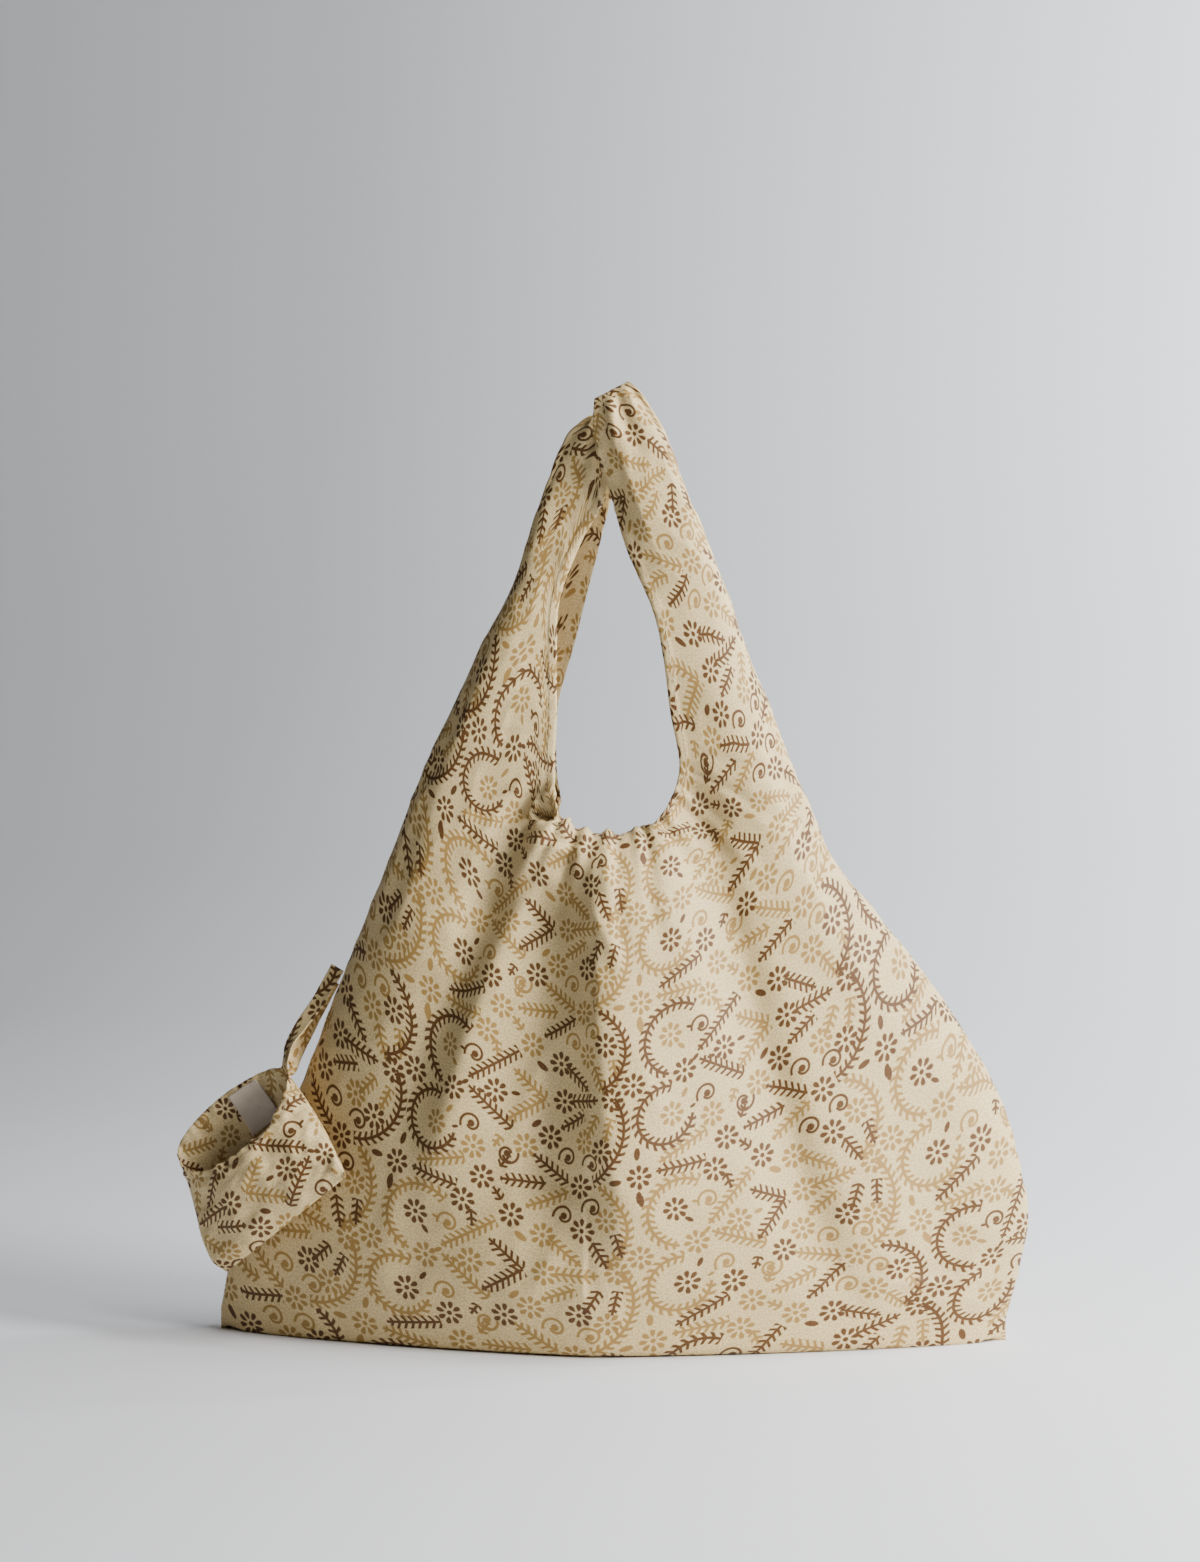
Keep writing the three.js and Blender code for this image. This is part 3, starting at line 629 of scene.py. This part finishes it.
def small_folds(face, points, part, to_edge, on_edge, from_seam, up):
    """Height of the small folds over the sheet, in mm."""
    x, z = points[:, 0], points[:, 2]
    side = 1 if face == "front" else -1
    fan = np.arctan2(x - 6, 372 - z)
    far = np.hypot(x - 6, 372 - z)
    shift = noise(fan * 3 + 11 * side, far / 60)
    gather = np.sin(fan * 30 + 2.2 * shift + side) + 0.5 * np.sin(fan * 53 + 3 * shift)
    gather *= GATHER * np.exp(-to_edge / 34)
    gather *= smooth(far, 30, 60) * smooth(0.5 - np.abs(up - 1.0), 0, 0.3)
    corner = np.exp(-(((x + 24) / 20) ** 2) - ((z - 318) / 26) ** 2)
    bunch = BUNCH * corner * creased(x / 11 + 5, z / 14, 1.2)
    pucker = np.sin(on_edge / 1.5 + 4 * noise(on_edge / 8, z * 0 + 3)) * np.exp(-to_edge / 6)
    pucker *= 0.5 + 0.45 * noise(on_edge / 11, z * 0 + 6)
    hem = HEM_RISE * (1 - smooth(to_edge, 4.6, 6.2))
    seam = SEAM_PUCKER * noise(z / 6.5, x * 0 + 8) * np.exp(-from_seam / 8)
    seam *= smooth(z, 14, 40)
    calm = np.where(x > 20, 0.55, 1.0) if face == "front" else 0.8
    slant = x + 0.35 * (z - 200) * np.sign(x)
    crumple = CRUMPLE * calm * creased(slant / 46 + 3 * side, z / 74)
    crumple = crumple + FINE_CRUMPLE * calm * creased(slant / 19 + 9, z / 27 + side)
    foot = np.exp(-(((x - 212) / 60) ** 2) - ((z - 40) / 45) ** 2)
    crumple = crumple + FOOT_CRUMPLE * foot * creased(x / 24 + 1, z / 17)
    crumple = crumple * smooth(z, 4, 30)
    ruffle = RUFFLE * smooth(up, 1.86, 1.97) * np.sin(part * 17 + 4 * side)
    window = smooth(part, 0.0, 0.06)
    top = 1 - smooth(up, 1.97, 2.0)
    rest = (gather + bunch + crumple + ruffle) * window * top
    return rest + (hem + pucker) * top + seam


def panel(face):
    points, quads, index = [], [], {}
    grids, ups, parts = {}, [], []
    neck = BASE_ROWS + WALL_ROWS
    for side in ("left", "right"):
        grid, rows_up, part = panel_grid(side, face)
        rows_part = np.concatenate([np.repeat(part[:1], BASE_ROWS, 0), part])
        rows, columns = grid.shape[:2]
        at = np.arange(rows * columns).reshape(rows, columns) + len(points)
        if side == "right":
            at -= np.clip(np.arange(rows), 0, neck + 1)[:, None]
            at[: neck + 1, COLUMNS] = grids["left"][: neck + 1, COLUMNS]
            keep = np.ones((rows, columns), bool)
            keep[: neck + 1, COLUMNS] = False
        else:
            keep = np.ones((rows, columns), bool)
        grids[side] = at
        points = np.concatenate([points, grid[keep]]) if len(points) else grid[keep]
        ups.append(np.broadcast_to(rows_up[:, None], keep.shape)[keep])
        parts.append(rows_part[keep])
        a, b, c, d = at[:-1, :-1], at[:-1, 1:], at[1:, 1:], at[1:, :-1]
        flip = (side == "right") != (face == "back")
        order = (a, d, c, b) if flip else (a, b, c, d)
        quads.append(np.stack([corner.ravel() for corner in order], 1))
    quads, ups, parts = np.concatenate(quads), np.concatenate(ups), np.concatenate(parts)
    triangles = np.concatenate([quads[:, [0, 1, 2]], quads[:, [0, 2, 3]]])
    in_wall = ups > 0
    plain = normals_of(points, triangles)
    lift = fold_height(face, points[:, 0], points[:, 2]) * smooth(parts, FOLD_START, FOLD_FULL) * in_wall
    points = points + plain * lift[:, None]

    opening = [grids["left"][neck:, COLUMNS][::-1], grids["right"][neck + 1 :, COLUMNS]]
    edge = points[np.concatenate(opening)]
    run = np.concatenate([[0], np.cumsum(np.linalg.norm(np.diff(edge, axis=0), axis=1))])
    gaps = np.linalg.norm(points[:, None, ::2] - edge[None, ::2, ::2], axis=2)
    nearest = gaps.argmin(1) * 2
    to_edge, on_edge = gaps.min(1), run[nearest]

    uv = np.zeros((len(points), 2))
    from_seam = np.zeros(len(points))
    for side, sign in (("left", -1), ("right", 1)):
        at = grids[side]
        grid = points[at]
        across = np.linalg.norm(np.diff(grid, axis=1), axis=2)
        from_outer = np.concatenate([np.zeros((len(at), 1)), np.cumsum(across, 1)], 1)
        wide = from_outer[:, -1:]
        held = wide.copy()
        held[neck:] = wide[neck]
        u = held - from_outer
        step = np.diff(grid, axis=0)
        row = np.gradient(grid, axis=1)[:-1]
        row /= np.linalg.norm(row, axis=2, keepdims=True)
        rise = np.linalg.norm(np.cross(step, row), axis=2)
        t = np.concatenate([np.zeros((1, at.shape[1])), np.cumsum(rise, 0)])
        fan = 1 + 0.001 * (np.minimum(t, 420) - 230)
        uv[at] = np.stack([sign * u * fan, t], 2)
        from_seam[at] = from_outer
    small = small_folds(face, points, parts, to_edge, on_edge, from_seam, ups)
    soft = smooth(points[:, 2], 1, 16)
    points = points + normals_of(points, triangles) * (small * soft * (ups > 0))[:, None]

    normals = normals_of(points, triangles)
    for side in ("left", "right"):
        at = grids[side]
        for line in (at[:, 0], at[-1]):
            normals[line, 1] = 0
        foot = at[0]
        normals[foot] = (0, 0, -1)
    normals /= np.linalg.norm(normals, axis=1, keepdims=True) + 1e-12
    points[:, 2] = np.maximum(points[:, 2], 0)
    shift = (0, 0) if face == "front" else (70, 45)
    piece = sheet_object(face + "_cloth", points, quads, uv + shift, normals, THICK, CLOTH)
    return piece, edge, points, triangles, quads


front, front_edge, front_points, front_triangles, _ = panel("front")
back, back_edge, back_points, back_triangles, _ = panel("back")
for piece, node in ((front, "front_panel"), (back, "back_panel")):
    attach(piece, "root")
    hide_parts(node)

# %% [markdown]
# ## The pouch, its strap and its label
# The pouch is a small bag of its own, which hangs by one corner. Its four corners are set, and
# rings between them bow to the front and to the back. A box pushed into shape would lose the
# slack mouth. The strap is a flat band along a row of places, each with its turn, and the label
# is a patch that follows the pouch's back wall on its inside.

# %% Pouch
POUCH = {
    "top": (-193, -22, 163), "left": (-262.5, -14, 110),
    "right": (-149, -62, 104), "bottom": (-226, -42, 42),
}
POUCH_AROUND, POUCH_ROWS = 120, 52
POUCH_SECTION = [  # down, front, back, near, far
    (0, 17, 3, 0, 0), (0.12, 18, 10, 1, 0.5), (0.3, 18, 13, 2.5, 2), (0.5, 16, 12, 3, 4.5),
    (0.7, 12, 9, 2.5, 7), (0.88, 8, 5.5, 1.5, 6), (1, 0, 0, 0, 0),
]
POUCH_SAG, POUCH_RISE, LIP_FALL, POUCH_EDGE = 0.4, 0.18, 1.5, 1.05


def unit(vector):
    return vector / np.linalg.norm(vector, axis=-1, keepdims=True)


def pouch_point(down, around):
    """The pouch's cloth at a place down from its mouth and round it from its top edge."""
    top, left, right, bottom = (np.array(POUCH[k], float) for k in ("top", "left", "right", "bottom"))
    angle = around * 2 * np.pi
    ahead = np.sin(angle)
    drop = down + (1 - down) ** LIP_FALL * np.where(ahead > 0, POUCH_SAG, POUCH_RISE) * ahead
    one = top + (right - top) * drop[..., None]
    other = left + (bottom - left) * drop[..., None]
    across = unit(one - other)
    along = unit(right + bottom - top - left)
    outward = unit(np.cross(along, across))
    bow = np.where(np.cos(angle) > 0, curve(POUCH_SECTION, down, 3), curve(POUCH_SECTION, down, 4))
    half = np.linalg.norm(one - other, axis=-1) / 2 + bow
    stand = np.where(ahead > 0, curve(POUCH_SECTION, down, 1), curve(POUCH_SECTION, down, 2))
    out = np.sign(ahead) * np.abs(ahead) ** POUCH_EDGE
    middle = (one + other) / 2
    return middle + across * (half * np.cos(angle))[..., None] + outward * (stand * out)[..., None]


def pouch():
    down = np.arange(POUCH_ROWS)[:, None] / POUCH_ROWS + np.zeros((1, POUCH_AROUND))
    around = np.arange(POUCH_AROUND)[None, :] / POUCH_AROUND + np.zeros((POUCH_ROWS, 1))
    half = POUCH_AROUND // 2
    seam = np.arange(half + 1) / POUCH_AROUND
    down = np.concatenate([down.ravel(), np.ones(half + 1)])
    around = np.concatenate([around.ravel(), seam])
    points = pouch_point(down, around)
    at = np.arange(POUCH_ROWS * POUCH_AROUND).reshape(POUCH_ROWS, POUCH_AROUND)
    mirror = np.minimum(np.arange(POUCH_AROUND), POUCH_AROUND - np.arange(POUCH_AROUND))
    at = np.concatenate([at, (len(at) * POUCH_AROUND + mirror)[None, :]])
    nxt = np.roll(at, -1, 1)
    quads = np.stack([at[:-1], nxt[:-1], nxt[1:], at[1:]], 2).reshape(-1, 4)
    triangles = np.concatenate([quads[:, [0, 1, 2]], quads[:, [0, 2, 3]]])
    front_side = np.sin(around * 2 * np.pi) > 0
    lip = np.exp(-down / 0.22)
    ring = np.linalg.norm(np.diff(points[at[POUCH_ROWS // 2]], axis=0), axis=1)[: half + 1]
    to_left = np.where(front_side, around, 1 - around)
    run = np.interp(to_left, seam, np.append(0, np.cumsum(ring))[: half + 1])
    fall = np.linalg.norm(np.diff(points[at], axis=0), axis=2)
    rise = np.zeros(len(points))
    rise[at[:-1]] = np.cumsum(fall[::-1], 0)[::-1]
    lip *= 0.6 + 0.6 * noise(run / 15 + 2, down * 0 + 5)
    crumple = creased(run / 19 + 4 * front_side, rise / 15, 1.3) * (1.1 + 3.2 * lip * front_side)
    crumple = crumple + 0.5 * creased(run / 8 + 3, rise / 9)
    hem = 0.5 * (1 - smooth(down * 90, 4.6, 6))
    hem = hem + 0.8 * np.sin(run / 1.7 + 2 * noise(run / 7, run * 0)) * np.exp(-down / 0.07)
    edge = np.minimum(np.abs(around - 0.5), np.minimum(around, 1 - around))
    lift = (crumple * smooth(edge, 0, 0.06) + hem) * (1 - smooth(down, 0.93, 1))
    points = points + normals_of(points, triangles) * lift[:, None]
    normals = normals_of(points, triangles)
    uv = np.stack([run + 37 * front_side + 12, rise + 20], 1)
    return sheet_object("pouch_cloth", points, quads, uv, normals, THICK, CLOTH), points, triangles, at


pouch_cloth, pouch_points, pouch_triangles, pouch_index = pouch()
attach(pouch_cloth, "root")
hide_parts("pouch")

# %% Strap
STRAP_WIDTH = 9.5
STRAP = [  # x, y, z, turn
    (-164.2, -0.5, 226, 20), (-171.5, -2, 213, 25), (-178.5, -5, 201, 30), (-186, -10, 190, 40),
    (-191.5, -16, 180, 55), (-193.5, -21, 170, 60), (-193.4, -21.5, 165, 60),
    (-191, -17.5, 164.5, 60), (-189.5, -8, 171, 50), (-185.5, 0, 182, 40), (-180, 5, 195, 30),
    (-174, 6, 207, 22), (-168.4, 5.5, 217, 20),
]


def strap():
    steps, wide = 150, 10
    table = np.array([(i, *row) for i, row in enumerate(STRAP)], float)
    at = np.linspace(0, len(STRAP) - 1, steps + 1)
    centre = np.stack([curve(table, at, k) for k in (1, 2, 3)], 1)
    along = unit(np.gradient(centre, axis=0))
    side = unit(np.cross(along, (0, -1, 0)))
    turn = np.radians(np.interp(at, table[:, 0], table[:, 4]))[:, None]
    side = side * np.cos(turn) + np.cross(along, side) * np.sin(turn)
    share = np.linspace(-0.5, 0.5, wide + 1)
    points = centre[:, None] + side[:, None] * (STRAP_WIDTH * share)[None, :, None]
    index = np.arange(points.shape[0] * points.shape[1]).reshape(points.shape[:2])
    points = points.reshape(-1, 3)
    quads = np.stack([index[:-1, :-1], index[:-1, 1:], index[1:, 1:], index[1:, :-1]], 2).reshape(-1, 4)
    triangles = np.concatenate([quads[:, [0, 1, 2]], quads[:, [0, 2, 3]]])
    run = np.concatenate([[0], np.cumsum(np.linalg.norm(np.diff(centre, axis=0), axis=1))])
    uv = np.stack([np.tile(share * STRAP_WIDTH, steps + 1) + 31, np.repeat(run, wide + 1) + 8], 1)
    rim = np.abs(uv[:, 0] - 31)
    lift = 0.35 * smooth(rim, 3.4, 4.4) + 0.35 * noise(uv[:, 0] / 5, uv[:, 1] / 6)
    points = points + normals_of(points, triangles) * lift[:, None]
    return sheet_object("strap_cloth", points, quads, uv, normals_of(points, triangles), THICK, CLOTH)


strap_cloth = strap()
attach(strap_cloth, "root")
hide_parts("pouch_strap")


# %% Label
def label_cloth():
    material, tree, shader, place = new_material("label_cloth")
    grain = place.node("ShaderNodeTexNoise", {}, place, Scale=1.4, Detail=2.0)
    rib = place.node("ShaderNodeTexWave", {"bands_direction": "Y"}, place, Scale=1.1, Distortion=0.6)
    relief = rib + grain
    bump = relief.node("ShaderNodeBump", {}, 0.25, 0.0003, Height=relief)
    colour = mixed(grain.fused(1.0, -0.2, clamp=True), (0.62, 0.5, 0.38, 1), (0.8, 0.68, 0.54, 1))
    tree.links.new(colour.output, shader.inputs["Base Color"])
    tree.links.new(bump.output, shader.inputs["Normal"])
    shader.inputs["Roughness"].default_value = 0.75
    shader.inputs["Sheen Weight"].default_value = 0.15
    return material


LABEL_ROWS, LABEL_COLUMNS, LABEL_APART = 26, 26, 0.5


def label():
    down = np.linspace(0.02, 0.3, LABEL_ROWS + 1)[:, None] + np.zeros((1, LABEL_COLUMNS + 1))
    around = np.linspace(0.755, 0.84, LABEL_COLUMNS + 1)[None, :] + np.zeros((LABEL_ROWS + 1, 1))
    points = pouch_point(down, around).reshape(-1, 3)
    index = np.arange(len(points)).reshape(down.shape)
    quads = np.stack([index[:-1, :-1], index[:-1, 1:], index[1:, 1:], index[1:, :-1]], 2).reshape(-1, 4)
    triangles = np.concatenate([quads[:, [0, 1, 2]], quads[:, [0, 2, 3]]])
    normals = normals_of(points, triangles)
    wave = 0.35 * noise(down.ravel() * 26, around.ravel() * 70)
    points = points - normals * (1.2 + LABEL_APART + 0.2 + wave)[:, None]
    uv = np.stack([around.ravel() * 300, down.ravel() * 100], 1)
    normals = normals_of(points, triangles)
    return sheet_object("label_cloth", points, quads, uv, normals, 0.45, label_cloth())


label_piece = label()
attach(label_piece, "root")
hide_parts("pouch_label")

# %% [markdown]
# ## Hem stitches
# Each stitch is a short thread that lies along its hem. Set by hand they would be hundreds of
# objects, so a node group puts them along a path of points on the cloth, and its result is baked.

# %% Stitch paths
STITCH_IN = 4.6  # from the cloth's edge


def hem_path(edge, points, triangles):
    """Points on a sheet beside its edge, towards the sheet's own side, and just above it."""
    tree = BVHTree.FromPolygons((points / 1000).tolist(), triangles.tolist())
    run = np.concatenate([[0], np.cumsum(np.linalg.norm(np.diff(edge, axis=0), axis=1))])
    even = np.arange(6, run[-1] - 6, 1.0)
    line = np.stack([np.interp(even, run, edge[:, k]) for k in range(3)], 1)
    along = unit(np.gradient(line, axis=0))
    path = []
    for spot, direction in zip(line, along):
        start = Vector(spot / 1000)
        _, normal, _, _ = tree.find_nearest(start)
        inward = Vector(direction).cross(normal).normalized()
        steps = [inward * (sign * STITCH_IN / 1000) for sign in (1, -1)]
        tried = [tree.find_nearest(start + step) for step in steps]
        place, normal, _, _ = min(tried, key=lambda found: found[3])
        path.append(place + normal * 0.0001)
    return path


def stitch_group(thread):
    """A node group that lays stitches along the edges of a mesh."""
    group = bpy.data.node_groups.new("stitches", "GeometryNodeTree")
    group.interface.new_socket("Geometry", in_out="INPUT", socket_type="NodeSocketGeometry")
    group.interface.new_socket("Pitch", in_out="INPUT", socket_type="NodeSocketFloat")
    group.interface.new_socket("Length", in_out="INPUT", socket_type="NodeSocketFloat")
    group.interface.new_socket("Thickness", in_out="INPUT", socket_type="NodeSocketFloat")
    group.interface.new_socket("Geometry", in_out="OUTPUT", socket_type="NodeSocketGeometry")
    nodes, links = group.nodes, group.links
    entry, leave = nodes.new("NodeGroupInput"), nodes.new("NodeGroupOutput")
    line = nodes.new("GeometryNodeMeshToCurve")
    even = nodes.new("GeometryNodeResampleCurve")
    even.mode = "LENGTH"
    place = nodes.new("GeometryNodeInstanceOnPoints")
    tangent = nodes.new("GeometryNodeInputTangent")
    align = nodes.new("FunctionNodeAlignRotationToVector")
    align.axis = "Z"
    ball = nodes.new("GeometryNodeMeshUVSphere")
    ball.inputs["Segments"].default_value = 6
    ball.inputs["Rings"].default_value = 5
    ball.inputs["Radius"].default_value = 0.5
    size = nodes.new("ShaderNodeCombineXYZ")
    real = nodes.new("GeometryNodeRealizeInstances")
    paint = nodes.new("GeometryNodeSetMaterial")
    paint.inputs["Material"].default_value = thread
    links.new(entry.outputs["Geometry"], line.inputs["Mesh"])
    links.new(line.outputs["Curve"], even.inputs["Curve"])
    links.new(entry.outputs["Pitch"], even.inputs["Length"])
    links.new(even.outputs["Curve"], place.inputs["Points"])
    links.new(ball.outputs["Mesh"], place.inputs["Instance"])
    links.new(tangent.outputs["Tangent"], align.inputs["Vector"])
    links.new(align.outputs["Rotation"], place.inputs["Rotation"])
    links.new(entry.outputs["Thickness"], size.inputs["X"])
    links.new(entry.outputs["Thickness"], size.inputs["Y"])
    links.new(entry.outputs["Length"], size.inputs["Z"])
    links.new(size.outputs["Vector"], place.inputs["Scale"])
    links.new(place.outputs["Instances"], real.inputs["Geometry"])
    links.new(real.outputs["Geometry"], paint.inputs["Geometry"])
    links.new(paint.outputs["Geometry"], leave.inputs["Geometry"])
    return group


def thread_material():
    material = bpy.data.materials.new("thread")
    material.use_nodes = True
    tree = material.node_tree
    shader = tree.nodes["Principled BSDF"]
    spot = add_node(tree, "ShaderNodeNewGeometry", {})
    grain = spot.node("ShaderNodeTexNoise", {}, spot, Scale=900.0, Detail=2.0)
    colour = mixed(grain.fused(1.4, -0.2, clamp=True), (0.36, 0.27, 0.15, 1), (0.6, 0.5, 0.33, 1))
    tree.links.new(colour.output, shader.inputs["Base Color"])
    shader.inputs["Roughness"].default_value = 0.6
    return material


THREAD = thread_material()
STITCHES = stitch_group(THREAD)
SOCKETS = STITCHES.interface.items_tree
GROUP_INPUTS = {item.name: item.identifier for item in SOCKETS if item.in_out == "INPUT"}


def stitch(name, path, pitch=0.0031, length=0.0023, thickness=0.00036):
    shape = bpy.data.meshes.new(name + "_path")
    shape.from_pydata(path, [(i, i + 1) for i in range(len(path) - 1)], [])
    guide = bpy.data.objects.new(name + "_path", shape)
    bpy.context.scene.collection.objects.link(guide)
    modifier = guide.modifiers.new("stitches", "NODES")
    modifier.node_group = STITCHES
    for key, value in (("Pitch", pitch), ("Length", length), ("Thickness", thickness)):
        modifier[GROUP_INPUTS[key]] = value
    seen = guide.evaluated_get(bpy.context.evaluated_depsgraph_get())
    baked = bpy.data.meshes.new_from_object(seen)
    bpy.data.objects.remove(guide)
    baked.name = name
    baked.shade_smooth()
    piece = bpy.data.objects.new(name, baked)
    bpy.context.scene.collection.objects.link(piece)
    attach(piece, "root")
    print(f"{name}: {len(baked.polygons)} faces")
    return piece


stitch("front_hem_stitches", hem_path(front_edge, front_points, front_triangles))
stitch("back_hem_stitches", hem_path(back_edge, back_points, back_triangles))
mouth = pouch_points[np.append(pouch_index[0], pouch_index[0][:1])]
stitch("pouch_hem_stitches", hem_path(mouth, pouch_points, pouch_triangles))

# %% [markdown]
# ## Finish
# The last line updates the view layer.

# %% Finish
bpy.context.view_layer.update()
